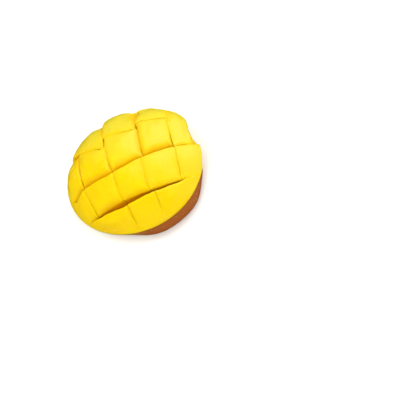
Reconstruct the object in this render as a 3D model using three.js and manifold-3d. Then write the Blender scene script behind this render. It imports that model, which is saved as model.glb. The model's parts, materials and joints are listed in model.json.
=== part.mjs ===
// A mango cheek, scored into cubes down to the skin and pushed inside out,
// resting on its skin side. Millimetres, +Z up, the origin on the ground under
// the middle of the cheek. +X is the long way of the fruit; the cubes of the
// front row face -Y. Turns are in degrees round +Z from +X, and a reach is 0 in
// the middle and 1 on the outline.
import * as THREE from 'three';
import { mergeVertices } from 'three/addons/utils/BufferGeometryUtils.js';
import Module from 'manifold-3d';

// ---- driving dimensions ------------------------------------------------------
const halfLength = 56;        // middle to rim, along X
const halfWidth = 47.9;       // middle to rim, along Y
const eggShape = -0.010;      // how much one end is fuller than the other
const rimHeight = 12;         // rim of the flesh above the ground
const domeHeight = 30.1;      // cut faces above the rim
const domeFullness = 0.70;    // below 0.5 a box, 1 a cone-like dome
const ringReach = 0.66;       // where the skin touches the ground
const hollowHeight = 4.0;     // hollow under the middle of the skin
const floorThickness = 4.5;   // skin and uncut flesh left under the cuts
const floorClimb = 2.2;       // how late the foot of the cuts climbs towards the rim
const floorTop = 12.5;        // and no higher than this
const openFrom = -20;         // from this turn to the next the cuts open the rim
const openTo = 156;
const openFade = 10;
const overhang = 0.045;       // there the cubes stand out over the skin
const openLift = 1.0;         // and their faces end higher
const dentDepth = 0.065;      // the rim is flatter at one place
const dentTurn = 8;
const dentWidth = 20;
const closeFrom = 0.86;       // elsewhere the cuts close between these reaches
const closeTo = 0.97;
const borderUnder = 0.8;      // until then their floor stays this far under the faces
const borderProud = 0.12;     // the uncut border stands this far over the cubes
const bellyPlain = 2;         // degrees that the skin turns in under its widest place
const bellyMost = 38;         // and more towards the belly's turn
const bellyTurn = -72;
const bellyEdge = 0.70;       // cosine of how far from there it begins
const moveX = 0.67;           // brings the middle of the whole over the origin
const moveY = 3.02;

// ---- how the cubes are cut ---------------------------------------------------
const edgeStops = [0, 0.6, 1];   // steps round a soft edge
const cornerSquareness = 8;      // 2 is a round corner in plan
const edgeBend = 2;              // 1 is a round edge, 2 one that only slopes off
const topSwell = 0.7;            // how far the cut faces bulge
const topGap = 0.10;             // half width of a cut that looks closed
const footGap = 0.25;            // and of every cut at its foot
const footHeight = 3.6;          // the cubes grow out of the flesh from here
const footReach = 0.90;          // outer sides stand no further out at their foot
const borderReach = 0.985;       // nor do the cubes in the uncut border
const overlap = 0.05;            // closed cuts overlap by this
const raiseFrom = 0.55;          // an outer side is raised between these reaches
const raiseTo = 0.90;
const drawInRoom = 0.10;         // reach over which outer sides are drawn in

// Cuts across and along the fruit: place of the foot, lean of the cut in plan
const crossCuts = [[-34.5, 0], [-7.8, 0.04], [14.6, 0.067], [35.0, 0.10]];
const longCuts = [[-27.4, -0.010], [-4.4, 0], [20.5, -0.10]];

// Every cube at its top: its left and right side at the front and back end, its
// front and back side at the left and right end; width and depth of its soft
// edges left, right, front and back; the cuts on those sides, null outside; how
// it stands proud and tips to the right and to the back; and, from turn to turn,
// the reach of its outer side and how far that is raised.
const cubes = {
  frontLeft: {
    left: [-50, -50], right: [-10.7, -8.4], front: [-50, -50], back: [-27, -29.4],
    soft: [[1, 1], [2.2, 0.9], [1, 1], [1.4, 1]], cuts: [null, 1, null, 0],
    stand: [0.2, 0.1, 0],
  },
  frontMiddle: {
    left: [-10.5, -8.1], right: [10.9, 14.2], front: [-50, -50], back: [-29.4, -29.9],
    soft: [[2.2, 0.9], [1.8, 0.7], [1, 1], [1.4, 1]], cuts: [1, 2, null, 0],
    stand: [0.5, 0, 0.3],
  },
  frontRight: {
    left: [11, 14.3], right: [49, 49], front: [-50, -50], back: [-29.7, -27.8],
    soft: [[1.8, 0.7], [1, 1], [1, 1], [1.4, 0.8]], cuts: [2, null, null, 0],
    stand: [0.2, 0, 0.2],
  },
  lowEnd: {
    left: [-58, -58], right: [-34.6, -35.6], front: [-26.4, -26], back: [-10.6, -5.2],
    soft: [[1, 1], [2.4, 0.8], [1.4, 1.2], [1.6, 0.8]], cuts: [null, 0, 0, 1],
    stand: [-0.2, 0.2, 0],
  },
  lowLeft: {
    left: [-34.6, -35.6], right: [-9.6, -8.2], front: [-26, -26.4], back: [-5.2, -6.7],
    soft: [[2.4, 0.8], [2.8, 1.1], [1.5, 1.3], [1.8, 0.9]], cuts: [0, 1, 0, 1],
    stand: [0, 0.2, 0.2],
  },
  lowMiddle: {
    left: [-9.6, -8.2], right: [11.8, 15], front: [-26.7, -28], back: [-6.5, -5.6],
    soft: [[2.4, 1], [2.4, 0.8], [1.5, 1.3], [1.8, 0.9]], cuts: [1, 2, 0, 1],
    stand: [0.3, 0, 0.2],
  },
  lowRight: {
    left: [11.8, 15], right: [35.4, 39.4], front: [-28.1, -27.9], back: [-5.5, -4.6],
    soft: [[2.4, 0.8], [3, 0.9], [1.4, 1.2], [1.6, 0.8]], cuts: [2, 3, 0, 1],
    stand: [0.3, -0.2, 0.2],
  },
  lowTip: {
    left: [35.4, 39.4], right: [59, 59], front: [-28, -28], back: [-4.5, -4.6],
    soft: [[3, 0.8], [3, 3], [1.8, 0.8], [2, 0.9]], cuts: [3, null, 0, 1],
    stand: [0, 0, 0], out: [[-24, 1, 0], [-6, 1, 0.3]],
  },
  highEnd: {
    left: [-58, -58], right: [-35.7, -33.4], front: [-9, -3.9], back: [34, 25],
    soft: [[1, 1], [2.4, 1.3], [5, 3.4], [2, 1]], cuts: [null, 0, 1, 2],
    stand: [-0.2, 0.3, 0], out: [[-175, 0.985, 0], [165, 0.985, 0], [140, 0.88, -2.5]],
  },
  highLeft: {
    left: [-35.6, -33.3], right: [-8.9, -7.7], front: [-4.4, -5.9], back: [25, 15.6],
    soft: [[2.2, 1.4], [3.2, 1.2], [7, 4.6], [2.6, 0.8]], cuts: [0, 1, 1, 2],
    stand: [0, 0.3, 0],
  },
  highMiddle: {
    left: [-8.8, -7.6], right: [17, 18.6], front: [-5.2, -4.8], back: [24, 20.3],
    soft: [[2.8, 1.3], [7, 3.4], [7, 4.6], [3, 1.1]], cuts: [1, 2, 1, 2],
    stand: [0.5, -0.2, 0.2],
  },
  highRight: {
    left: [17, 18.6], right: [39.2, 41.4], front: [-4.2, -3.6], back: [25.5, 23.2],
    soft: [[7, 3.6], [2.4, 0.8], [8.2, 5.4], [2.2, 0.8]], cuts: [2, 3, 1, 2],
    stand: [0.5, 0, 0.3],
  },
  highTip: {
    left: [39.2, 41.4], right: [54, 56], front: [-4.3, -4.3], back: [46, 46],
    soft: [[2.2, 0.8], [3, 3], [1.8, 1], [3, 2]], cuts: [3, null, 1, null],
    stand: [0, 0, 0], out: [[-6, 0.92, 0], [8, 0.95, 0], [22, 1.03, 0.8], [42, 1, 1]],
  },
  backLeft: {
    left: [-48, -48], right: [-8.8, -7.6], front: [31, 15.6], back: [50, 50],
    soft: [[3, 3], [2.4, 1.3], [2.2, 0.8], [2.5, 2.5]], cuts: [null, 1, 2, null],
    stand: [-0.2, 0.2, 0], out: [[142, 1, 0.8], [116, 0.97, 0], [103, 0.87, -2.5]],
  },
  backMiddle: {
    left: [-8.8, -7.2], right: [18, 24], front: [24, 20.3], back: [50, 50],
    soft: [[2.2, 1.2], [6, 3], [2.6, 1], [2.5, 2.5]], cuts: [1, 2, 2, null],
    stand: [0.5, 0, 0], out: [[103, 0.99, 0.5], [84, 0.97, 0.3], [60, 0.85, -4]],
  },
  backRight: {
    left: [18, 24], right: [41.4, 42], front: [25.5, 23.2], back: [50, 50],
    soft: [[6, 2.6], [2, 0.7], [2.4, 0.9], [2.5, 2.5]], cuts: [2, 3, 2, null],
    stand: [0.3, 0, 0], out: [[64, 0.93, -0.6], [52, 0.98, 0], [36, 1, 1]],
  },
};

// ---- the shape as functions --------------------------------------------------
const { lerp, clamp, smoothstep, degToRad, radToDeg, euclideanModulo } = THREE.MathUtils;

// Width of the outline at a place along the fruit
function widthAt(x) {
  return halfWidth * (1 - eggShape * (x / halfLength));
}

function reachAt(x, y) {
  return Math.hypot(x / halfLength, y / widthAt(x));
}

function turnAt(x, y) {
  return radToDeg(Math.atan2(y, x));
}

// 1 where the cuts run out through the rim, 0 where they end in a border
function openShare(turn) {
  const middle = (openFrom + openTo) / 2;
  const half = (openTo - openFrom) / 2;
  const away = Math.abs(euclideanModulo(turn - middle + 180, 360) - 180);
  return 1 - smoothstep(away, half, half + openFade);
}

function rimReach(turn) {
  const dent = dentDepth * (1 - smoothstep(Math.abs(turn - dentTurn), 0, dentWidth));
  return 1 - overhang * openShare(turn) - dent;
}

// Height over the ground of the cut faces
function faceHeight(x, y) {
  const base = rimHeight + openLift * openShare(turnAt(x, y));
  const inside = Math.max(0, 1 - reachAt(x, y) ** 2);
  return base + (domeHeight + rimHeight - base) * inside ** domeFullness;
}

// Draws what lies past the limit in behind it
function drawIn(x, y, limit) {
  const out = reachAt(x, y);
  const free = limit - drawInRoom;
  if (out <= free) return [x, y];
  const share = (free + drawInRoom * Math.tanh((out - free) / drawInRoom)) / out;
  return [x * share, y * share];
}

// Skin from the ring on the ground up to the rim: part 0 to 1, gives reach and
// height; it bellies out past the rim, most of all at the front right
function skinWall(part, turn) {
  const towards = Math.cos(degToRad(turn - bellyTurn));
  const full = Math.PI / 2 + degToRad(bellyPlain + bellyMost * smoothstep(towards, bellyEdge, 1));
  const sweep = full * part;
  const out = ringReach + (rimReach(turn) - ringReach) * Math.sin(sweep) / Math.sin(full);
  return [out, rimHeight * (1 - Math.cos(sweep)) / (1 - Math.cos(full))];
}

// Hollow under the middle, 0 from the ring outwards
function hollowAt(reach) {
  return hollowHeight * 0.5 * (1 + Math.cos(Math.PI * clamp(reach / ringReach, 0, 1)));
}

// 1 where a cut has closed, near the rim at the front and left
function closedAt(x, y) {
  return smoothstep(reachAt(x, y), closeFrom, closeTo) * (1 - openShare(turnAt(x, y)));
}

// Foot of the cuts, which climbs as they close
function floorHeight(x, y) {
  const out = reachAt(x, y);
  const climb = rimHeight * clamp((out - ringReach) / (rimReach(turnAt(x, y)) - ringReach), 0, 1.3) ** floorClimb;
  const closed = closedAt(x, y);
  const top = faceHeight(x, y) + lerp(-borderUnder, borderProud, smoothstep(closed, 0.8, 1));
  const deep = Math.min(hollowAt(out) + climb + floorThickness, floorTop, top);
  return lerp(deep, top, closed);
}

// ---- solids ------------------------------------------------------------------
const wasm = await Module();
wasm.setup();

function toSolid(geometry) {
  const bare = geometry.clone();
  bare.deleteAttribute('normal');
  bare.deleteAttribute('uv');
  const welded = mergeVertices(bare, 1e-4);
  const mesh = new wasm.Mesh({
    numProp: 3,
    vertProperties: new Float32Array(welded.attributes.position.array),
    triVerts: new Uint32Array(welded.index.array),
  });
  return new wasm.Manifold(mesh);
}

function toGeometry(solid) {
  const mesh = solid.getMesh();
  const geometry = new THREE.BufferGeometry();
  geometry.setAttribute('position', new THREE.BufferAttribute(new Float32Array(mesh.vertProperties), 3));
  geometry.setIndex(new THREE.BufferAttribute(new Uint32Array(mesh.triVerts), 1));
  return geometry;
}

// A body turned round the middle: every ring gives its reach and height at a
// turn, and the first and last ring lie on the axis. A height may be a function
// of the place.
function turned(rings, turnCount) {
  const last = rings.length - 1;
  const profile = rings.map((_, i) => new THREE.Vector2(i === 0 || i === last ? 0 : 1, i));
  const geometry = new THREE.LatheGeometry(profile, turnCount);
  const place = geometry.attributes.position;
  for (let i = 0; i < place.count; i += 1) {
    const ring = Math.round(place.getY(i));
    const turn = ring === 0 || ring === last ? 0 : Math.atan2(place.getX(i), place.getZ(i));
    const [out, height] = rings[ring](radToDeg(turn));
    const x = out * halfLength * Math.cos(turn);
    const y = out * widthAt(x) * Math.sin(turn);
    place.setXYZ(i, x, y, typeof height === 'function' ? height(x, y) : height);
  }
  return geometry;
}

// The cup that holds the whole: hollow skin below, and a wall that leans out over
// the rim and closes far above the cubes
const wallReach = 1.06;
const turnSteps = 56;
const outside = toSolid(turned([
  ...[0, 0.3, 0.52].map((out) => (() => [out, hollowAt(out)])),
  ...[0, 0.25, 0.45, 0.65, 0.82, 0.93, 1].map((part) => ((turn) => skinWall(part, turn))),
  (turn) => [lerp(1, rimReach(turn) + 0.004, openShare(turn)), rimHeight + 0.4],
  () => [wallReach, rimHeight + 1.7],
  () => [wallReach, rimHeight + 20],
  () => [0, rimHeight + 60],
], turnSteps));

// Flesh and skin under the cuts, made too big and then held inside the cup
const bed = toSolid(turned([
  () => [0, -6],
  () => [1.2, -6],
  ...[1.2, 1.0, 0.99, 0.965, 0.93, 0.9, 0.86, 0.8, 0.7, 0.5, 0.25, 0].map((out) => (() => [out, floorHeight])),
], turnSteps));

// Where the outer side of a cube stands at a turn: its reach, and how far it is raised
function outerSide(marks, turn) {
  const first = marks[0][0];
  const spots = marks
    .map(([at, reach, raised]) => [euclideanModulo(at - first + 180, 360), reach, raised])
    .sort((a, b) => a[0] - b[0]);
  const around = euclideanModulo(turn - first + 180, 360);
  const next = spots.findIndex((spot) => around <= spot[0]);
  if (next === 0) return spots[0].slice(1);
  if (next < 0) return spots[spots.length - 1].slice(1);
  const part = smoothstep(around, spots[next - 1][0], spots[next][0]);
  return [1, 2].map((i) => lerp(spots[next - 1][i], spots[next][i], part));
}

function cutFoot(cut, along) {
  return cut === null ? null : cut[0] + cut[1] * along;
}

// One cube: a box whose steps are drawn to the soft edges, then carried from its
// foot between the cuts up to its cut face
function makeCube(cube) {
  const [softLeft, softRight, softFront, softBack] = cube.soft;
  const [cutLeft, cutRight, cutFront, cutBack] = cube.cuts;
  const [lift, tipX, tipY] = cube.stand;
  const flatSteps = 3;                               // each way from the middle
  const sideSteps = flatSteps + edgeStops.length - 1;
  const across = (t) => {
    const step = Math.round(Math.abs(t) * sideSteps);
    return [Math.sign(t) * Math.min(1, step / flatSteps), edgeStops[Math.max(0, step - flatSteps)]];
  };
  const geometry = new THREE.BoxGeometry(2, 2, 2, 2 * sideSteps, 2 * sideSteps, 2);
  const place = geometry.attributes.position;
  for (let i = 0; i < place.count; i += 1) {
    const level = Math.round(place.getZ(i) + 1);       // foot, under the soft edge, cut face
    const [u, overX] = across(place.getX(i));
    const [v, overY] = across(place.getY(i));
    const atTop = level === 2 ? 1 : 0;
    const partX = (u + 1) / 2;
    const partY = (v + 1) / 2;
    const softX = u > 0 ? softRight : softLeft;
    const softY = v > 0 ? softBack : softFront;
    // the soft edges, a little rounder at the corners
    const over = (overX ** cornerSquareness + overY ** cornerSquareness) ** (1 / cornerSquareness);
    const around = Math.max(1, Math.hypot(Math.min(1, over), atTop));
    const aside = 1 / (Math.max(1, over) * around);
    const upright = atTop / around;
    // the flat face
    const left = lerp(...cube.left, partY) + softLeft[0] + topGap;
    const right = lerp(...cube.right, partY) - softRight[0] - topGap;
    const front = lerp(...cube.front, partX) + softFront[0] + topGap;
    const back = lerp(...cube.back, partX) - softBack[0] - topGap;
    let topX = lerp(left, right, partX);
    let topY = lerp(front, back, partY);
    const feetX = [cutLeft, cutRight].map((cut) => cutFoot(cut === null ? null : crossCuts[cut], topY));
    const feetY = [cutFront, cutBack].map((cut) => cutFoot(cut === null ? null : longCuts[cut], topX));
    // near the rim the cuts close
    const closed = closedAt(topX, topY);
    const free = 1 - closed;
    if (feetX[0] !== null) topX += closed * Math.max(0, -u) ** 2 * (feetX[0] - left - overlap);
    if (feetX[1] !== null) topX += closed * Math.max(0, u) ** 2 * (feetX[1] - right + overlap);
    if (feetY[0] !== null) topY += closed * Math.max(0, -v) ** 2 * (feetY[0] - front - overlap);
    if (feetY[1] !== null) topY += closed * Math.max(0, v) ** 2 * (feetY[1] - back + overlap);
    topX += Math.sign(u) * overX * aside * softX[0] * free;
    topY += Math.sign(v) * overY * aside * softY[0] * free;
    const outer = openShare(turnAt(topX, topY));
    const [limit, raised] = cube.out ? outerSide(cube.out, turnAt(topX, topY)) : [1, 0];
    [topX, topY] = drawIn(topX, topY, lerp(borderReach, limit, outer));
    const standing = lift + tipX * u + tipY * v + topSwell * (1 - u * u) * (1 - v * v)
      + raised * smoothstep(reachAt(topX, topY), raiseFrom, raiseTo);
    const topZ = faceHeight(topX, topY) + standing * (1 - closedAt(topX, topY));
    // its foot between the cuts
    const gap = footGap * free - overlap * closed;
    let lowX = lerp(feetX[0] === null ? left : feetX[0] + gap, feetX[1] === null ? right : feetX[1] - gap, partX);
    let lowY = lerp(feetY[0] === null ? front : feetY[0] + gap, feetY[1] === null ? back : feetY[1] - gap, partY);
    [lowX, lowY] = drawIn(lowX, lowY, lerp(borderReach, footReach, outer));
    const tall = Math.max(1, topZ - footHeight);
    const share = overX + overY > 0 ? overX / (overX + overY) : 0.5;
    const soft = Math.max(overlap, lerp(softY[1], softX[1], share) * free);
    const depth = atTop ? soft * (1 - upright ** edgeBend) : lerp(tall, soft, level);
    const up = 1 - depth / tall;
    place.setXYZ(i, lerp(lowX, topX, up), lerp(lowY, topY, up), lerp(footHeight, topZ, up));
  }
  return geometry;
}

let flesh = bed;
Object.values(cubes).forEach((cube) => {
  flesh = flesh.add(toSolid(makeCube(cube)));
});
const pieces = flesh.intersect(outside).decompose();
const half = pieces.reduce((a, b) => (b.volume() > a.volume() ? b : a));   // drops specks where cuts close

// ---- scene graph -------------------------------------------------------------
const mangoHalf = new THREE.Mesh(
  toGeometry(half),
  new THREE.MeshStandardMaterial({ color: 0xf7c60c, roughness: 0.38, metalness: 0.0 }),
);
mangoHalf.name = 'mango_half';
mangoHalf.position.set(moveX, moveY, 0);

const group = new THREE.Group();
group.add(mangoHalf);
export default group;
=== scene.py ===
import json
import math

import bmesh
import bpy
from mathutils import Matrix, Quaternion, Vector, noise

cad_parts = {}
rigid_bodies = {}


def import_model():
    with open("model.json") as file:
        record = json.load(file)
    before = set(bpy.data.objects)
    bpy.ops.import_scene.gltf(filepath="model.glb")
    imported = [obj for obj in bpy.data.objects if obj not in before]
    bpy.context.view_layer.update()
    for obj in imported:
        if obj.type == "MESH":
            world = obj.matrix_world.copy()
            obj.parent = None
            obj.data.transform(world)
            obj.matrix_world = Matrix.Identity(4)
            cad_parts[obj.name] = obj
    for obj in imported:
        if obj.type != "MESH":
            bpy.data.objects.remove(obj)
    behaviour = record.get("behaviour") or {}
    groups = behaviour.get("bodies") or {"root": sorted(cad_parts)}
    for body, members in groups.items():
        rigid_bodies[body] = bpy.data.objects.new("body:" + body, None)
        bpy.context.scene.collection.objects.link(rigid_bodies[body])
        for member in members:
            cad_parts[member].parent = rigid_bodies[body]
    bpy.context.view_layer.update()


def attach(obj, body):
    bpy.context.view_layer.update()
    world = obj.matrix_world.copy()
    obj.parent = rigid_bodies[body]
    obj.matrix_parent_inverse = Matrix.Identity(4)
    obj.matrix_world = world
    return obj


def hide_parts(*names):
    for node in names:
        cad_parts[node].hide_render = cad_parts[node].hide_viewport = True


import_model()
mm = 0.001
noise.seed_set(7)  # so the ripples come out the same each time

# The half as a whole, in millimetres and degrees; a reach is 0 in the middle and 1 on the rim
halfSize = {
    "length": 56.0,            # middle to rim, along X
    "width": 47.9,             # middle to rim, along Y
    "egg": -0.010,             # one end fuller than the other
    "rim": 12.0,               # rim above the ground
    "dome": 30.1,              # cut faces above the rim
    "fullness": 0.70,          # 0.5 is an even dome, more a pointed one
    "ring": 0.66,              # where the skin touches the ground
    "hollow": 4.0,             # hollow under the middle
    "hollowShare": 0.4,        # share of the underside's steps that it takes
    "floor": 4.5,              # flesh and skin left under the cuts
    "floorClimb": 2.2,         # how late the foot of the cuts climbs towards the rim
    "floorPast": 1.3,          # where it stops climbing; the rim is at 1
    "floorOver": 0.5,          # no higher over the rim than this
    "openFrom": -20.0,         # turn where the cuts begin to open the rim
    "openTo": 156.0,
    "openFade": 10.0,
    "openLift": 1.0,           # there the cut faces end higher
    "overhang": 0.045,         # and the cubes stand out over the skin
    "dent": 0.065,             # the rim is flatter at one place
    "dentTurn": 8.0,
    "dentWide": 20.0,
    "closeFrom": 0.86,         # elsewhere the cuts close between these reaches
    "closeTo": 0.97,
    "borderUnder": 0.8,        # until then their foot stays this far under the faces
    "borderProud": 0.12,       # and in the uncut border comes this far over them
    "borderFrom": 0.8,         # how far closed a cut is when it begins to
    "bellyPlain": 2.0,         # how far the skin turns in under its widest place
    "bellyFront": 38.0,        # and how much further towards the belly
    "bellyTurn": -72.0,
    "bellyEdge": 0.70,         # cosine of how far from there that begins
    "drawRoom": 0.10,          # reach over which outer sides are drawn in
    "move": (0.67, 3.02),      # brings the middle of the whole over the origin
}


def blend(a, b, part):
    return a + (b - a) * part


def clamp(value, low, high):
    return max(low, min(high, value))


def easeBetween(value, low, high):
    part = clamp((value - low) / (high - low), 0.0, 1.0)
    return part * part * (3.0 - 2.0 * part)


def widthAt(x):
    return halfSize["width"] * (1.0 - halfSize["egg"] * x / halfSize["length"])


def reachAt(x, y):
    return math.hypot(x / halfSize["length"], y / widthAt(x))


def placeAt(out, turn):
    x = out * halfSize["length"] * math.cos(turn)
    return x, out * widthAt(x) * math.sin(turn)


# 1 where the cuts run out through the rim, 0 where they end in a border
def openShare(turn):
    middle = math.radians(halfSize["openFrom"] + halfSize["openTo"]) / 2.0
    half = math.radians(halfSize["openTo"] - halfSize["openFrom"]) / 2.0
    away = abs((turn - middle + math.pi) % (2.0 * math.pi) - math.pi)
    return 1.0 - easeBetween(away, half, half + math.radians(halfSize["openFade"]))


def rimReach(turn):
    away = abs(math.degrees(turn) - halfSize["dentTurn"])
    dent = halfSize["dent"] * (1.0 - easeBetween(away, 0.0, halfSize["dentWide"]))
    return 1.0 - halfSize["overhang"] * openShare(turn) - dent


def faceHeight(x, y):
    base = halfSize["rim"] + halfSize["openLift"] * openShare(math.atan2(y, x))
    inside = max(0.0, 1.0 - reachAt(x, y) ** 2)
    return base + (halfSize["dome"] + halfSize["rim"] - base) * inside ** halfSize["fullness"]


# The hollow's height over the ground; part is 0 in its middle and 1 on the ring
def hollowHeight(part):
    return halfSize["hollow"] * 0.5 * (1.0 + math.cos(math.pi * part))


# Draws what lies past the limit in behind it
def drawIn(x, y, limit):
    room = halfSize["drawRoom"]
    out = reachAt(x, y)
    if out <= limit - room:
        return x, y
    share = (limit - room + room * math.tanh((out - limit + room) / room)) / out
    return x * share, y * share


def skinSweep(turn):
    towards = math.cos(turn - math.radians(halfSize["bellyTurn"]))
    more = halfSize["bellyFront"] * easeBetween(towards, halfSize["bellyEdge"], 1.0)
    return math.pi / 2.0 + math.radians(halfSize["bellyPlain"] + more)


# The skin's underside: part 0 under the middle, 1 on the rim; the inset goes in through the skin
def underPoint(part, turn, inset):
    ring, share = halfSize["ring"], halfSize["hollowShare"]
    if part < share:
        out = ring * part / share
        up = hollowHeight(part / share) + inset
        sweep = 0.0
    else:
        full = skinSweep(turn)
        sweep = full * (part - share) / (1.0 - share)
        out = ring + (rimReach(turn) - ring) * math.sin(sweep) / math.sin(full)
        up = halfSize["rim"] * (1.0 - math.cos(sweep)) / (1.0 - math.cos(full))
        up += inset * max(0.0, math.cos(sweep))
    x, y = placeAt(out, turn)
    pull = inset * math.sin(sweep) / max(1.0, math.hypot(x, y))
    return x * (1.0 - pull), y * (1.0 - pull), up


# 1 where a cut has closed, near the rim at the front and left
def closedAt(x, y):
    closed = easeBetween(reachAt(x, y), halfSize["closeFrom"], halfSize["closeTo"])
    return closed * (1.0 - openShare(math.atan2(y, x)))


# Foot of the cuts, which climbs as they close
def floorHeight(x, y):
    out, ring = reachAt(x, y), halfSize["ring"]
    past = (out - ring) / (rimReach(math.atan2(y, x)) - ring)
    climb = halfSize["rim"] * clamp(past, 0.0, halfSize["floorPast"]) ** halfSize["floorClimb"]
    deep = hollowHeight(clamp(out / ring, 0.0, 1.0)) + climb + halfSize["floor"]
    closed = closedAt(x, y)
    proud = easeBetween(closed, halfSize["borderFrom"], 1.0)
    top = faceHeight(x, y) + blend(-halfSize["borderUnder"], halfSize["borderProud"], proud)
    return blend(min(deep, halfSize["rim"] + halfSize["floorOver"], top), top, closed)


def newPiece(name, mesh):
    piece = bpy.data.objects.new(name, mesh)
    bpy.context.scene.collection.objects.link(piece)
    return piece


def meshFrom(bm, name):
    bmesh.ops.recalc_face_normals(bm, faces=bm.faces)
    mesh = bpy.data.meshes.new(name)
    bm.to_mesh(mesh)
    bm.free()
    return mesh


# A ball with so many steps around and upright; every point is placed by its way up (0 to 1) and its turn
def ballInto(name, steps, place):
    bm = bmesh.new()
    bmesh.ops.create_uvsphere(bm, u_segments=steps[0], v_segments=steps[1], radius=1.0)
    for vert in bm.verts:
        way = 1.0 - math.acos(clamp(vert.co.z, -1.0, 1.0)) / math.pi
        turn = math.atan2(vert.co.y, vert.co.x)
        vert.co = Vector(place(way, turn)) * mm
    return newPiece(name, meshFrom(bm, name))


# The flesh is a bed with the cubes on it, trimmed to its outline by a cup
fleshSize = {
    "bedSteps": (160, 96),
    "bedSpread": 1.3,          # how far out its underside goes before it is trimmed
    "bedUnder": -6.0,          # and how far down
    "cupSteps": (200, 140),
    "cupInset": 0.7,           # the cup lies this far inside the skin's outside
    "rimPart": 0.02,           # part of its wall that stands on the rim
    "rimRoom": 0.004,          # reach by which that goes past an open rim
    "rimOver": 0.4,            # and how far it lies over the rim
    "wallReach": 1.06,         # the wall round the cubes
    "wallClose": 1.4,          # more lets it close later over them
    "wallTall": 60.0,
}


# A cup that holds the flesh: the skin below, and a wall that leans out over its rim
def cupPlace(way, turn):
    size = fleshSize
    if way < 0.5:
        return underPoint(way / 0.5, turn, size["cupInset"])
    part = (way - 0.5) / 0.5
    if part < size["rimPart"]:
        out = blend(1.0, rimReach(turn) + size["rimRoom"], openShare(turn))
        return *placeAt(out, turn), halfSize["rim"] + size["rimOver"]
    out = size["wallReach"] * min(1.0, (1.0 - part) * size["wallClose"])
    return *placeAt(out, turn), halfSize["rim"] + size["wallTall"] * part


def bedPlace(way, turn):
    if way < 0.5:
        return *placeAt(fleshSize["bedSpread"] * math.sin(way * math.pi), turn), fleshSize["bedUnder"]
    x, y = placeAt(math.cos((way - 0.5) * math.pi), turn)
    return x, y, floorHeight(x, y)


# How the cubes are cut
cubeLook = {
    "across": 30,              # cuts in each side of a cube
    "edgeSteps": 6,            # of them, so many round each edge
    "corner": 16.0,            # 2 is a round corner in plan, more is squarer
    "bend": 1.7,               # 1 is a round edge, 2 one that only slopes off
    "softLeast": 0.05,         # depth of the edge where a cut has closed
    "swell": 1.1,              # how far the cut faces bulge
    "topGap": 0.015,           # half width of a cut that looks closed
    "footGap": 0.25,           # and of every cut at its foot
    "overlap": 0.05,           # the sides of a closed cut overlap by this
    "footHeight": 3.6,
    "footReach": 0.90,         # outer sides stand no further out at their foot
    "borderReach": 0.985,      # nor do the cubes in the uncut border
    "raiseFrom": 0.55,         # an outer side is raised between these reaches
    "raiseTo": 0.90,
    "ripple": 0.26,            # uneven surface
    "ripples": ((0.13, 1.5), (0.5, 0.5)),  # how close its waves follow, and how high they are
}
# Feet of the cuts: place, and lean in plan
crossCuts = [(-34.5, 0.0), (-7.8, 0.04), (14.6, 0.067), (35.0, 0.10)]
longCuts = [(-27.4, -0.010), (-4.4, 0.0), (20.5, -0.10)]
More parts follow.
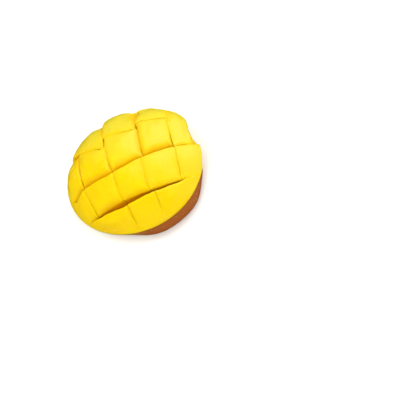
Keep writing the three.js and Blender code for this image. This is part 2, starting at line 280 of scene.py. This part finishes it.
# The sides of each cube at the top: the left and right one at the front and back end, the front and
# back one at the left and right end; how wide and deep its soft edges are there, left, right, front
# and back; the cuts on those sides, or none at the outside; how it stands proud and tips to the
# right and to the back; and, from turn to turn, how far its outer side stands out and up
cubes = {
    "frontLeft": {
        "left": (-50, -50), "right": (-10.7, -8.4), "front": (-50, -50), "back": (-25.6, -30.7),
        "soft": ((1, 1), (3.6, 1.5), (1, 1), (2.8, 2.2)), "cuts": (None, 1, None, 0),
        "stand": (0.2, 0.1, 0.0),
    },
    "frontMiddle": {
        "left": (-10.5, -8.1), "right": (10.9, 14.2), "front": (-50, -50), "back": (-30.7, -30.1),
        "soft": ((3.4, 1.4), (3.2, 1.2), (1, 1), (2.6, 2.0)), "cuts": (1, 2, None, 0),
        "stand": (0.5, 0.0, 0.3),
    },
    "frontRight": {
        "left": (11.0, 14.3), "right": (49, 49), "front": (-50, -50), "back": (-30.1, -28.2),
        "soft": ((3.2, 1.2), (1, 1), (1, 1), (2.2, 1.6)), "cuts": (2, None, None, 0),
        "stand": (0.2, 0.0, 0.2),
    },
    "lowEnd": {
        "left": (-58, -58), "right": (-34.6, -35.6), "front": (-26.4, -26.0), "back": (-10.6, -5.2),
        "soft": ((1, 1), (3.2, 1.1), (3.2, 2.6), (2.2, 1.0)), "cuts": (None, 0, 0, 1),
        "stand": (-0.2, 0.2, 0.0),
    },
    "lowLeft": {
        "left": (-34.6, -35.6), "right": (-9.6, -8.2), "front": (-26.0, -26.4), "back": (-5.2, -6.7),
        "soft": ((4.0, 1.2), (4.4, 1.3), (4.4, 3.6), (2.6, 1.2)), "cuts": (0, 1, 0, 1),
        "stand": (0.0, 0.2, 0.2),
    },
    "lowMiddle": {
        "left": (-9.6, -8.2), "right": (11.8, 15.0), "front": (-26.7, -28.0), "back": (-6.5, -5.6),
        "soft": ((4.2, 1.2), (4.6, 1.1), (3.8, 3.0), (2.6, 1.2)), "cuts": (1, 2, 0, 1),
        "stand": (0.3, 0.0, 0.2),
    },
    "lowRight": {
        "left": (11.8, 15.0), "right": (35.4, 39.4), "front": (-28.1, -27.9), "back": (-5.5, -4.6),
        "soft": ((4.6, 1.1), (4.6, 1.2), (2.8, 2.1), (2.4, 1.1)), "cuts": (2, 3, 0, 1),
        "stand": (0.3, -0.2, 0.2),
    },
    "lowTip": {
        "left": (35.4, 39.4), "right": (59, 59), "front": (-28.0, -28.0), "back": (-4.5, -4.6),
        "soft": ((4.2, 1.1), (3, 3), (1.8, 0.8), (2.4, 1.1)), "cuts": (3, None, 0, 1),
        "stand": (0.0, 0.0, 0.0), "out": [(-24, 1.0, 0.0), (-6, 1.0, 0.3)],
    },
    "highEnd": {
        "left": (-58, -58), "right": (-35.7, -33.4), "front": (-9.0, -3.9), "back": (34.0, 25.0),
        "soft": ((1, 1), (3.0, 1.6), (5.4, 3.6), (2, 1.0)), "cuts": (None, 0, 1, 2),
        "stand": (-0.2, 0.3, 0.0), "out": [(-175, 0.985, 0.0), (165, 0.985, 0.0), (140, 0.88, -2.5)],
    },
    "highLeft": {
        "left": (-35.6, -33.3), "right": (-8.9, -7.7), "front": (-4.4, -5.9), "back": (25.0, 15.6),
        "soft": ((3.4, 1.7), (4.8, 1.7), (8.0, 5.0), (3.2, 1.1)), "cuts": (0, 1, 1, 2),
        "stand": (0.0, 0.3, 0.0),
    },
    "highMiddle": {
        "left": (-8.8, -7.6), "right": (17.0, 18.6), "front": (-5.2, -4.8), "back": (24.0, 20.3),
        "soft": ((4.4, 1.6), (7.6, 3.2), (7.6, 4.8), (3.6, 1.3)), "cuts": (1, 2, 1, 2),
        "stand": (0.5, -0.2, 0.2),
    },
    "highRight": {
        "left": (17.0, 18.6), "right": (39.2, 41.4), "front": (-4.2, -3.6), "back": (25.5, 23.2),
        "soft": ((7.6, 3.6), (3.4, 1.2), (8.6, 5.4), (2.8, 1.1)), "cuts": (2, 3, 1, 2),
        "stand": (0.5, 0.0, 0.3),
    },
    "highTip": {
        "left": (39.2, 41.4), "right": (54.0, 56.0), "front": (-4.3, -4.3), "back": (46, 46),
        "soft": ((2.2, 0.8), (3, 3), (1.8, 1.0), (3, 2)), "cuts": (3, None, 1, None),
        "stand": (0.0, 0.0, 0.0), "out": [(-6, 0.92, 0.0), (8, 0.95, 0.0), (22, 1.03, 0.8), (42, 1.0, 1.0)],
    },
    "backLeft": {
        "left": (-48, -48), "right": (-8.8, -7.6), "front": (31.0, 15.6), "back": (50, 50),
        "soft": ((3, 3), (2.4, 1.3), (2.2, 0.8), (2.5, 2.5)), "cuts": (None, 1, 2, None),
        "stand": (-0.2, 0.2, 0.0), "out": [(142, 1.0, 0.8), (116, 0.97, 0.0), (103, 0.87, -2.5)],
    },
    "backMiddle": {
        "left": (-8.8, -7.2), "right": (18.0, 24.0), "front": (24.0, 20.3), "back": (50, 50),
        "soft": ((2.2, 1.2), (6.0, 3.0), (2.6, 1.0), (2.5, 2.5)), "cuts": (1, 2, 2, None),
        "stand": (0.5, 0.0, 0.0), "out": [(103, 0.99, 0.5), (84, 0.97, 0.3), (60, 0.85, -4.0)],
    },
    "backRight": {
        "left": (18.0, 24.0), "right": (41.4, 42.0), "front": (25.5, 23.2), "back": (50, 50),
        "soft": ((6.0, 2.6), (2.0, 0.7), (2.4, 0.9), (2.5, 2.5)), "cuts": (2, 3, 2, None),
        "stand": (0.3, 0.0, 0.0), "out": [(64, 0.93, -0.6), (52, 0.98, 0.0), (36, 1.0, 1.0)],
    },
}

# Which way is out from a cube: left, right, front and back
outwards = (-1.0, 1.0, -1.0, 1.0)


# Even steps of -1 to 1: how far across the flat face, and how far round its soft edge
def acrossFace(t):
    knee = 1.0 - cubeLook["edgeSteps"] / ((cubeLook["across"] + 1) / 2.0)
    return clamp(t / knee, -1.0, 1.0), max(0.0, (abs(t) - knee) / (1.0 - knee))


# How far out and how far up a point of a soft edge lies; the edges are a little rounder at the corners
def roundEdge(overX, overY, overZ):
    corner = cubeLook["corner"]
    over = (overX ** corner + overY ** corner) ** (1.0 / corner)
    around = max(1.0, math.hypot(min(1.0, over), overZ))
    return 1.0 / (max(1.0, over) * around), overZ / around


# The left, right, front and back side of a cube's flat face
def faceSides(cube, partX, partY):
    edges = (blend(*cube["left"], partY), blend(*cube["right"], partY),
             blend(*cube["front"], partX), blend(*cube["back"], partX))
    return [edge - sign * soft[0] - sign * cubeLook["topGap"]
            for edge, soft, sign in zip(edges, cube["soft"], outwards)]


def cutFoot(cuts, which, along):
    if which is None:
        return None
    place, lean = cuts[which]
    return place + lean * along


# The feet of the cuts left, right, in front and behind
def cutFeet(cube, x, y):
    left, right, front, back = cube["cuts"]
    return (cutFoot(crossCuts, left, y), cutFoot(crossCuts, right, y),
            cutFoot(longCuts, front, x), cutFoot(longCuts, back, x))


# Where the outer side of a cube stands at a turn: how far out, and how far up
def outerSide(cube, turn):
    around = math.degrees(turn) % 360.0
    spots = [(mark[0] % 360.0, mark[1], mark[2]) for mark in cube.get("out", [(0, 1.0, 0.0)])]
    if max(spot[0] for spot in spots) - min(spot[0] for spot in spots) > 180.0:
        around = (around + 180.0) % 360.0
        spots = [((spot[0] + 180.0) % 360.0, spot[1], spot[2]) for spot in spots]
    spots.sort()
    if around <= spots[0][0]:
        return spots[0][1:]
    for before, after in zip(spots, spots[1:]):
        if around <= after[0]:
            part = easeBetween(around, before[0], after[0])
            return blend(before[1], after[1], part), blend(before[2], after[2], part)
    return spots[-1][1:]


def rippleAt(spot):
    shake = Vector()
    for close, high in cubeLook["ripples"]:
        shake += noise.noise_vector(spot * close) * high
    return shake * cubeLook["ripple"]


# Where a point of an even block, whose sides run from -1 to 1, lies in a cube
def cubePoint(cube, point):
    look = cubeLook
    (u, overX), (v, overY), (up, overZ) = (acrossFace(t) for t in point)
    onTop = up == 1.0
    aside, upright = roundEdge(overX, overY, overZ if onTop else 0.0)
    partX, partY = (u + 1.0) / 2.0, (v + 1.0) / 2.0
    softX = cube["soft"][1 if u > 0.0 else 0]
    softY = cube["soft"][3 if v > 0.0 else 2]
    # the flat face; near the rim the cuts close
    sides = faceSides(cube, partX, partY)
    flatX, flatY = blend(*sides[:2], partX), blend(*sides[2:], partY)
    closed = closedAt(flatX, flatY)
    free = 1.0 - closed
    feet = cutFeet(cube, flatX, flatY)
    shifts = [0.0] * 4
    for i, near in enumerate((-u, u, -v, v)):
        if feet[i] is not None:
            shifts[i] = closed * max(0.0, near) ** 2 * (feet[i] - sides[i] + outwards[i] * look["overlap"])
    flatX += shifts[0] + shifts[1]
    flatY += shifts[2] + shifts[3]
    # its soft edges, or its outer side
    topX = flatX + math.copysign(overX * aside * softX[0] * free, u)
    topY = flatY + math.copysign(overY * aside * softY[0] * free, v)
    turn = math.atan2(topY, topX)
    outer = openShare(turn)
    limit, raised = outerSide(cube, turn)
    topX, topY = drawIn(topX, topY, blend(look["borderReach"], limit, outer))
    lift, tipX, tipY = cube["stand"]
    standing = lift + tipX * u + tipY * v + look["swell"] * (1.0 - u * u) * (1.0 - v * v)
    standing += raised * easeBetween(reachAt(topX, topY), look["raiseFrom"], look["raiseTo"])
    topZ = faceHeight(topX, topY) + standing * (1.0 - closedAt(topX, topY))
    # its foot between the cuts
    gap = look["footGap"] * free - look["overlap"] * closed
    lows = [side if foot is None else foot - sign * gap
            for side, foot, sign in zip(sides, feet, outwards)]
    lowX, lowY = blend(*lows[:2], partX), blend(*lows[2:], partY)
    lowX, lowY = drawIn(lowX, lowY, blend(look["borderReach"], look["footReach"], outer))
    low = Vector((lowX, lowY, look["footHeight"]))
    top = Vector((topX, topY, topZ))
    # how deep the point lies under the top
    tall = max(1.0, topZ - low.z)
    share = overX / (overX + overY) if overX + overY > 0.0 else 0.5
    soft = max(look["softLeast"], blend(softY[1], softX[1], share) * free)
    if onTop:
        depth = soft * (1.0 - upright ** look["bend"])
    else:
        depth = blend(tall, soft, (up + 1.0) / 2.0)
    spot = low.lerp(top, 1.0 - depth / tall)
    return spot + rippleAt(spot) * free


def makeCube(name, cube):
    bm = bmesh.new()
    bmesh.ops.create_cube(bm, size=2.0)
    bmesh.ops.subdivide_edges(bm, edges=bm.edges[:], cuts=cubeLook["across"], use_grid_fill=True)
    for vert in bm.verts:
        vert.co = cubePoint(cube, vert.co) * mm
    return newPiece(name, meshFrom(bm, name))


def applyModifiers(piece):
    bpy.context.view_layer.update()
    graph = bpy.context.evaluated_depsgraph_get()
    done = bpy.data.meshes.new_from_object(piece.evaluated_get(graph))
    piece.modifiers.clear()
    piece.data = done


def joinWith(piece, operation, **what):
    step = piece.modifiers.new(operation, "BOOLEAN")
    step.operation = operation
    step.solver = "MANIFOLD"
    for key, value in what.items():
        setattr(step, key, value)
    applyModifiers(piece)


def connectedParts(bm):
    parts, seen = [], set()
    for first in bm.verts:
        if first in seen:
            continue
        seen.add(first)
        part, todo = [], [first]
        while todo:
            vert = todo.pop()
            part.append(vert)
            for link in vert.link_edges:
                near = link.other_vert(vert)
                if near not in seen:
                    seen.add(near)
                    todo.append(near)
        parts.append(part)
    return parts


# Takes out the small scraps that the joins leave in the cuts
def keepLargest(piece):
    bm = bmesh.new()
    bm.from_mesh(piece.data)
    *scraps, largest = sorted(connectedParts(bm), key=len)
    bmesh.ops.delete(bm, geom=[vert for scrap in scraps for vert in scrap], context="VERTS")
    bm.to_mesh(piece.data)
    bm.free()
    piece.data.validate()
    print(piece.name, len(scraps), "scraps out,", len(largest), "points left")


def makeFlesh():
    flesh = ballInto("flesh", fleshSize["bedSteps"], bedPlace)
    blocks = bpy.data.collections.new("cubes")
    for name, cube in cubes.items():
        block = makeCube(name, cube)
        bpy.context.scene.collection.objects.unlink(block)
        blocks.objects.link(block)
    joinWith(flesh, "UNION", operand_type="COLLECTION", collection=blocks)
    cup = ballInto("cup", fleshSize["cupSteps"], cupPlace)
    joinWith(flesh, "INTERSECT", object=cup)
    for block in [*blocks.objects, cup]:
        bpy.data.objects.remove(block)
    bpy.data.collections.remove(blocks)
    keepLargest(flesh)
    return flesh


skinSize = {
    "steps": (160, 100),
    "thick": 1.3,
}


# Its outside from the middle to the rim, and its inside back again
def skinPlace(way, turn):
    if way < 0.5:
        return underPoint(way / 0.5, turn, 0.0)
    return underPoint((1.0 - way) / 0.5, turn, skinSize["thick"])


def makeSkin():
    skin = ballInto("skin", skinSize["steps"], skinPlace)
    print("skin", len(skin.data.vertices), "points")
    return skin


# How far a place on the cut faces is from the nearest cut
def cutDistance(x, y):
    slack = 0.01
    for cube in cubes.values():
        partX = 0.5
        for _ in range(2):  # the sides lean, so the first pass is a guess
            front, back = blend(*cube["front"], partX), blend(*cube["back"], partX)
            partY = (y - front) / (back - front)
            left, right = blend(*cube["left"], partY), blend(*cube["right"], partY)
            partX = (x - left) / (right - left)
        if -slack < partX < 1.0 + slack and -slack < partY < 1.0 + slack:
            sides = zip((x - left, right - x, y - front, back - y), cube["cuts"])
            return max(0.0, min(side for side, cut in sides if cut is not None))
    return 0.0


# Where the painted shade and light change with the cuts
cutMarks = {
    "deepest": 14.0,           # this far under the faces, the depth is 1
    "rim": (0.72, 0.98),       # reaches between which it fades away
    "face": (0.015, 0.12),     # depths between which a cut face ends
    "near": 5.0,               # a place further from a cut than this is in the middle
}


# For the painted shade and light: how deep a point lies in the cuts, and how far from them on a cut face
def markPlaces(piece):
    depth = piece.data.attributes.new("depth", "FLOAT", "POINT")
    middle = piece.data.attributes.new("middle", "FLOAT", "POINT")
    for vert, deep, far in zip(piece.data.vertices, depth.data, middle.data):
        x, y, z = vert.co / mm
        below = clamp((faceHeight(x, y) - z) / cutMarks["deepest"], 0.0, 1.0)
        deep.value = below * (1.0 - easeBetween(reachAt(x, y), *cutMarks["rim"]))
        flat = 1.0 - easeBetween(below, *cutMarks["face"])
        far.value = flat * easeBetween(cutDistance(x, y), 0.0, cutMarks["near"]) if flat > 0.0 else 0.0


borderLook = {
    "under": 0.6,              # what lies deeper than this stays as it is
    "even": (0.75, 0.97),      # how far closed the cuts are where it becomes even
}


# Evens out the uncut border, where the cubes run into it
def evenBorder(piece):
    for vert in piece.data.vertices:
        x, y, z = vert.co / mm
        closed = closedAt(x, y)
        height = faceHeight(x, y)
        inside = reachAt(x, y) < cubeLook["borderReach"]
        if closed > 0.0 and inside and z > height - borderLook["under"]:
            vert.co.z = blend(z, height, easeBetween(closed, *borderLook["even"])) * mm


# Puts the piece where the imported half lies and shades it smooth
def settle(piece):
    for vert in piece.data.vertices:
        vert.co += Vector((*halfSize["move"], 0.0)) * mm
    for face in piece.data.polygons:
        face.use_smooth = True


def newMaterial(name):
    material = bpy.data.materials.new(name)
    material.use_nodes = True
    tree = material.node_tree
    return material, tree, tree.nodes["Principled BSDF"]


def addNode(tree, kind, inputs=(), **settings):
    node = tree.nodes.new("ShaderNode" + kind)
    for key, value in settings.items():
        setattr(node, key, value)
    for key, value in dict(inputs).items():
        if isinstance(value, bpy.types.NodeSocket):
            tree.links.new(value, node.inputs[key])
        else:
            node.inputs[key].default_value = value
    return node


def addMath(tree, operation, a, b):
    return addNode(tree, "Math", {0: a, 1: b}, operation=operation).outputs[0]


# How far a place lies in a direction
def addAlong(tree, place, towards):
    node = addNode(tree, "VectorMath", {0: place, 1: towards}, operation="DOT_PRODUCT")
    return node.outputs["Value"]


def addNoise(tree, place, scale, detail=3.0, rough=0.5):
    inputs = {"Vector": place, "Scale": scale, "Detail": detail, "Roughness": rough}
    return addNode(tree, "TexNoise", inputs).outputs["Fac"]


def addBump(tree, shader, height, strength, distance):
    bump = addNode(tree, "Bump", {"Strength": strength, "Distance": distance, "Height": height})
    tree.links.new(bump.outputs["Normal"], shader.inputs["Normal"])


def spreadOut(tree, value, low, high, toLow=0.0, toHigh=1.0):
    inputs = {"Value": value, "From Min": low, "From Max": high, "To Min": toLow, "To Max": toHigh}
    return addNode(tree, "MapRange", inputs).outputs["Result"]


noiseRange = (0.3, 0.7)        # most values of a noise lie between these
fineNoise = (4.0, 0.6)         # detail and roughness of the finer ones


def mixColours(tree, share, a, b):
    node = tree.nodes.new("ShaderNodeMix")
    node.data_type = "RGBA"
    sockets = {"Factor_Float": share, "A_Color": a, "B_Color": b}
    for socket in node.inputs:
        if socket.identifier in sockets:
            value = sockets[socket.identifier]
            if isinstance(value, bpy.types.NodeSocket):
                tree.links.new(value, socket)
            else:
                socket.default_value = (*value, 1.0)
    return next(socket for socket in node.outputs if socket.identifier == "Result_Color")


fleshLook = {
    "plain": (0.735, 0.540, 0.0010),
    "ripeAndCutShade": (0.725, 0.485, 0.0010),      # in soft patches as riper flesh, and along the cuts as painted shade
    "patchScale": 42.0,
    "patchRange": (0.38, 0.68),
    # how much painted shade the flesh takes at the cuts
    "cutShadeShare": 0.7,
    "paintedSheen": (0.625, 0.515, 0.026),       # painted sheen: paler towards the back right, where the key light is reflected
    "sheenTowards": (1.0, 1.2, 0.0),
    "sheenPlace": (-0.018, 0.034),
    "sheenWander": 0.010,                 # how uneven its edge is
    "sheenWanderScale": 60.0,
    "sheenAtCuts": 0.3,
    "fibre": (0.770, 0.610, 0.008),
    "fibreStretch": (0.16, 1.0, 1.0),    # drawn out along the fruit
    "fibreScale": 900.0,
    "fibreRange": (0.50, 0.75),
    "fibreShare": 0.40,
    "deep": (0.740, 0.360, 0.0010),      # painted shade down in the cuts
    "cutShadeRange": (0.05, 0.42),
    "deepest": (0.990, 0.560, 0.0020),   # where light comes through
    "deepestRange": (0.42, 0.80),
    "roughness": (0.16, 0.28),
    "wetScale": 130.0,
    "wetRange": (0.35, 0.65),
    "grainScale": 1500.0,
    "bumpStrength": 0.35,
    "bumpDistance": 0.0003,
    "specular": 0.38,
    "subsurface": 0.45,
    "subsurfaceRadius": (1.0, 0.55, 0.06),
    "subsurfaceScale": 0.004,
}


def fleshColour(tree, place, fibres):
    look = fleshLook
    patches = spreadOut(tree, addNoise(tree, place, look["patchScale"]), *look["patchRange"])
    colour = mixColours(tree, patches, look["plain"], look["ripeAndCutShade"])
    middle = addNode(tree, "Attribute", attribute_name="middle").outputs["Fac"]
    # painted shade: towards the cuts the flesh takes the darker ripe colour
    shadeNearCuts = spreadOut(tree, middle, 0.0, 1.0, look["cutShadeShare"], 0.0)
    colour = mixColours(tree, shadeNearCuts, colour, look["ripeAndCutShade"])
    # painted sheen: paler towards the back right, weaker near the cuts
    along = addAlong(tree, place, look["sheenTowards"])
    wander = spreadOut(tree, addNoise(tree, place, look["sheenWanderScale"]), *noiseRange,
                       -look["sheenWander"], look["sheenWander"])
    sheenShare = spreadOut(tree, addMath(tree, "ADD", along, wander), *look["sheenPlace"])
    sheenAwayFromCuts = spreadOut(tree, middle, 0.0, 1.0, look["sheenAtCuts"], 1.0)
    colour = mixColours(tree, addMath(tree, "MULTIPLY", sheenShare, sheenAwayFromCuts), colour, look["paintedSheen"])
    colour = mixColours(tree, addMath(tree, "MULTIPLY", fibres, look["fibreShare"]), colour, look["fibre"])
    depth = addNode(tree, "Attribute", attribute_name="depth").outputs["Fac"]
    # painted shade: darker down in the cuts
    colour = mixColours(tree, spreadOut(tree, depth, *look["cutShadeRange"]), colour, look["deep"])
    return mixColours(tree, spreadOut(tree, depth, *look["deepestRange"]), colour, look["deepest"])


def fleshMaterial():
    look = fleshLook
    material, tree, shader = newMaterial("mangoFlesh")
    place = addNode(tree, "TexCoord").outputs["Object"]
    drawn = addNode(tree, "Mapping", {"Vector": place, "Scale": look["fibreStretch"]}).outputs["Vector"]
    fibres = spreadOut(tree, addNoise(tree, drawn, look["fibreScale"], *fineNoise), *look["fibreRange"])
    tree.links.new(fleshColour(tree, place, fibres), shader.inputs["Base Color"])
    wet = spreadOut(tree, addNoise(tree, place, look["wetScale"]), *look["wetRange"], *look["roughness"])
    tree.links.new(wet, shader.inputs["Roughness"])
    grain = addMath(tree, "ADD", addNoise(tree, place, look["grainScale"]), fibres)
    addBump(tree, shader, grain, look["bumpStrength"], look["bumpDistance"])
    shader.inputs["Specular IOR Level"].default_value = look["specular"]
    shader.inputs["Subsurface Weight"].default_value = look["subsurface"]
    shader.inputs["Subsurface Radius"].default_value = look["subsurfaceRadius"]
    shader.inputs["Subsurface Scale"].default_value = look["subsurfaceScale"]
    print("flesh material", len(tree.nodes), "nodes")
    return material


skinLook = {
    "green": (0.29, 0.32, 0.024),
    "gold": (0.64, 0.36, 0.024),         # in clouds over the green
    "cloudScale": 30.0,
    "cloudRange": (0.35, 0.65),
    "blush": (0.235, 0.061, 0.006),      # towards the belly
    "blushTowards": (0.45, -0.85, 0.1),
    "blushPlace": (0.0, 0.034),
    "blushUneven": 0.014,
    "speck": (0.66, 0.48, 0.15),
    "speckScale": 420.0,
    "speckRange": (0.16, 0.08),
    "speckShare": 0.45,
    "roughness": (0.34, 0.50),
    "leatherScale": 700.0,
    "bumpStrength": 0.3,
    "bumpDistance": 0.00025,
    "specular": 0.4,
}


def skinMaterial():
    look = skinLook
    material, tree, shader = newMaterial("mangoSkin")
    place = addNode(tree, "TexCoord").outputs["Object"]
    clouds = addNoise(tree, place, look["cloudScale"], *fineNoise)
    colour = mixColours(tree, spreadOut(tree, clouds, *look["cloudRange"]), look["green"], look["gold"])
    uneven = spreadOut(tree, clouds, *noiseRange, -look["blushUneven"], look["blushUneven"])
    blush = addMath(tree, "ADD", addAlong(tree, place, look["blushTowards"]), uneven)
    colour = mixColours(tree, spreadOut(tree, blush, *look["blushPlace"]), colour, look["blush"])
    dots = addNode(tree, "TexVoronoi", {"Vector": place, "Scale": look["speckScale"], "Randomness": 1.0})
    specks = spreadOut(tree, dots.outputs["Distance"], *look["speckRange"])
    colour = mixColours(tree, addMath(tree, "MULTIPLY", specks, look["speckShare"]), colour, look["speck"])
    tree.links.new(colour, shader.inputs["Base Color"])
    tree.links.new(spreadOut(tree, clouds, *noiseRange, *look["roughness"]), shader.inputs["Roughness"])
    leather = addMath(tree, "ADD", addNoise(tree, place, look["leatherScale"]), specks)
    addBump(tree, shader, leather, look["bumpStrength"], look["bumpDistance"])
    shader.inputs["Specular IOR Level"].default_value = look["specular"]
    print("skin material", len(tree.nodes), "nodes")
    return material


view = {
    "turn": 29.25,             # degrees round from the front, to the right
    "above": 61.27,            # degrees over the floor
    "roll": 52.15,
    "away": 620.0,             # millimetres
    "aim": (0.69, 3.04, 23.0),
    "scale": 1.3355,           # picture points to a millimetre, at the half
    "place": (128.6, 166.9),   # where the aim lies in the picture
    "picture": 400.0,          # points across the picture
    "sensor": 36.0,
    "nearest": 0.01,           # metres
}


def makeCamera():
    turn, above = math.radians(view["turn"]), math.radians(view["above"])
    flat = math.cos(above)
    back = Vector((math.sin(turn) * flat, -math.cos(turn) * flat, math.sin(above)))
    facing = back.to_track_quat("Z", "Y") @ Quaternion((0.0, 0.0, 1.0), -math.radians(view["roll"]))
    focal = view["scale"] * view["away"]
    middle = view["picture"] / 2.0
    ray = Vector(((view["place"][0] - middle) / focal, (middle - view["place"][1]) / focal, -1.0))
    swing = Vector((0.0, 0.0, -1.0)).rotation_difference(ray)
    data = bpy.data.cameras.new("camera")
    data.sensor_width = view["sensor"]
    data.lens = focal / view["picture"] * view["sensor"]
    data.clip_start = view["nearest"]
    camera = bpy.data.objects.new("camera", data)
    bpy.context.scene.collection.objects.link(camera)
    camera.location = (Vector(view["aim"]) + back * view["away"]) * mm
    camera.rotation_mode = "QUATERNION"
    camera.rotation_quaternion = facing @ swing.inverted()
    bpy.context.scene.camera = camera
    print("camera", data.lens, "mm lens")


# In metres
floorLook = {
    "flat": 2.5,               # radius of the flat floor
    "curve": 1.5,              # past it, the floor curves up with this radius
    "rings": 12,
    "around": 96,
    "colour": (0.92, 0.89, 0.85),
    "roughness": 0.6,
}


def makeFloor():
    look = floorLook
    bm = bmesh.new()
    bmesh.ops.create_circle(bm, cap_ends=True, segments=look["around"], radius=look["flat"])
    edge = [e for e in bm.edges if e.is_boundary]
    for ring in range(1, look["rings"] + 1):
        bend = math.radians(90.0 * ring / look["rings"])
        grown = bmesh.ops.extrude_edge_only(bm, edges=edge)["geom"]
        edge = [item for item in grown if isinstance(item, bmesh.types.BMEdge) and item.is_boundary]
        for vert in {vert for e in edge for vert in e.verts}:
            turn = math.atan2(vert.co.y, vert.co.x)
            out = look["flat"] + look["curve"] * math.sin(bend)
            up = look["curve"] * (1.0 - math.cos(bend))
            vert.co = (out * math.cos(turn), out * math.sin(turn), up)
    floor = newPiece("floor", meshFrom(bm, "floor"))
    for face in floor.data.polygons:
        face.use_smooth = True
    material, _, shader = newMaterial("paleFloor")
    shader.inputs["Base Color"].default_value = (*look["colour"], 1.0)
    shader.inputs["Roughness"].default_value = look["roughness"]
    floor.data.materials.append(material)
    floor.visible_glossy = False
    print("floor", len(floor.data.polygons), "faces")


# Soft light: where from, how far, how wide, how strong, colour, and whether it shows in the gloss
lights = {
    "key": ((0.70, 0.45, 0.55), 1.1, 1.7, 9.0, (1.0, 0.99, 0.96), True),
    "top": ((0.0, 0.0, 1.0), 1.8, 2.4, 23.0, (1.0, 1.0, 1.0), False),
    "frontLeft": ((-0.58, -0.58, 0.57), 1.8, 1.6, 15.0, (1.0, 0.99, 0.98), False),
    "frontRight": ((0.60, -0.60, 0.50), 1.8, 1.6, 21.0, (1.0, 0.99, 0.98), False),
    "backLeft": ((-0.58, 0.58, 0.57), 1.8, 1.6, 17.0, (1.0, 1.0, 1.0), False),
    "backRight": ((0.58, 0.58, 0.57), 1.8, 1.6, 10.0, (1.0, 1.0, 1.0), False),
}
roomLight = {
    "colour": (1.0, 1.0, 1.0),
    "strength": 0.03,
}


def makeLight():
    for name, (towards, away, size, power, colour, gloss) in lights.items():
        data = bpy.data.lights.new(name, "AREA")
        data.shape = "DISK"
        data.size = size
        data.energy = power
        data.color = colour
        light = bpy.data.objects.new(name, data)
        bpy.context.scene.collection.objects.link(light)
        direction = Vector(towards).normalized()
        light.location = direction * away
        light.rotation_mode = "QUATERNION"
        light.rotation_quaternion = direction.to_track_quat("Z", "Y")
        light.visible_glossy = gloss
    world = bpy.data.worlds.new("world")
    world.use_nodes = True
    background = world.node_tree.nodes["Background"]
    background.inputs["Color"].default_value = (*roomLight["colour"], 1.0)
    background.inputs["Strength"].default_value = roomLight["strength"]
    bpy.context.scene.world = world
    bpy.context.scene.view_settings.view_transform = "Standard"
    print("lights", len(lights))


makeCamera()
makeFloor()
makeLight()
flesh = makeFlesh()
evenBorder(flesh)
markPlaces(flesh)
skin = makeSkin()
for piece, material in ((flesh, fleshMaterial()), (skin, skinMaterial())):
    settle(piece)
    piece.data.materials.clear()
    piece.data.materials.append(material)
    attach(piece, "root")
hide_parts("mango_half")
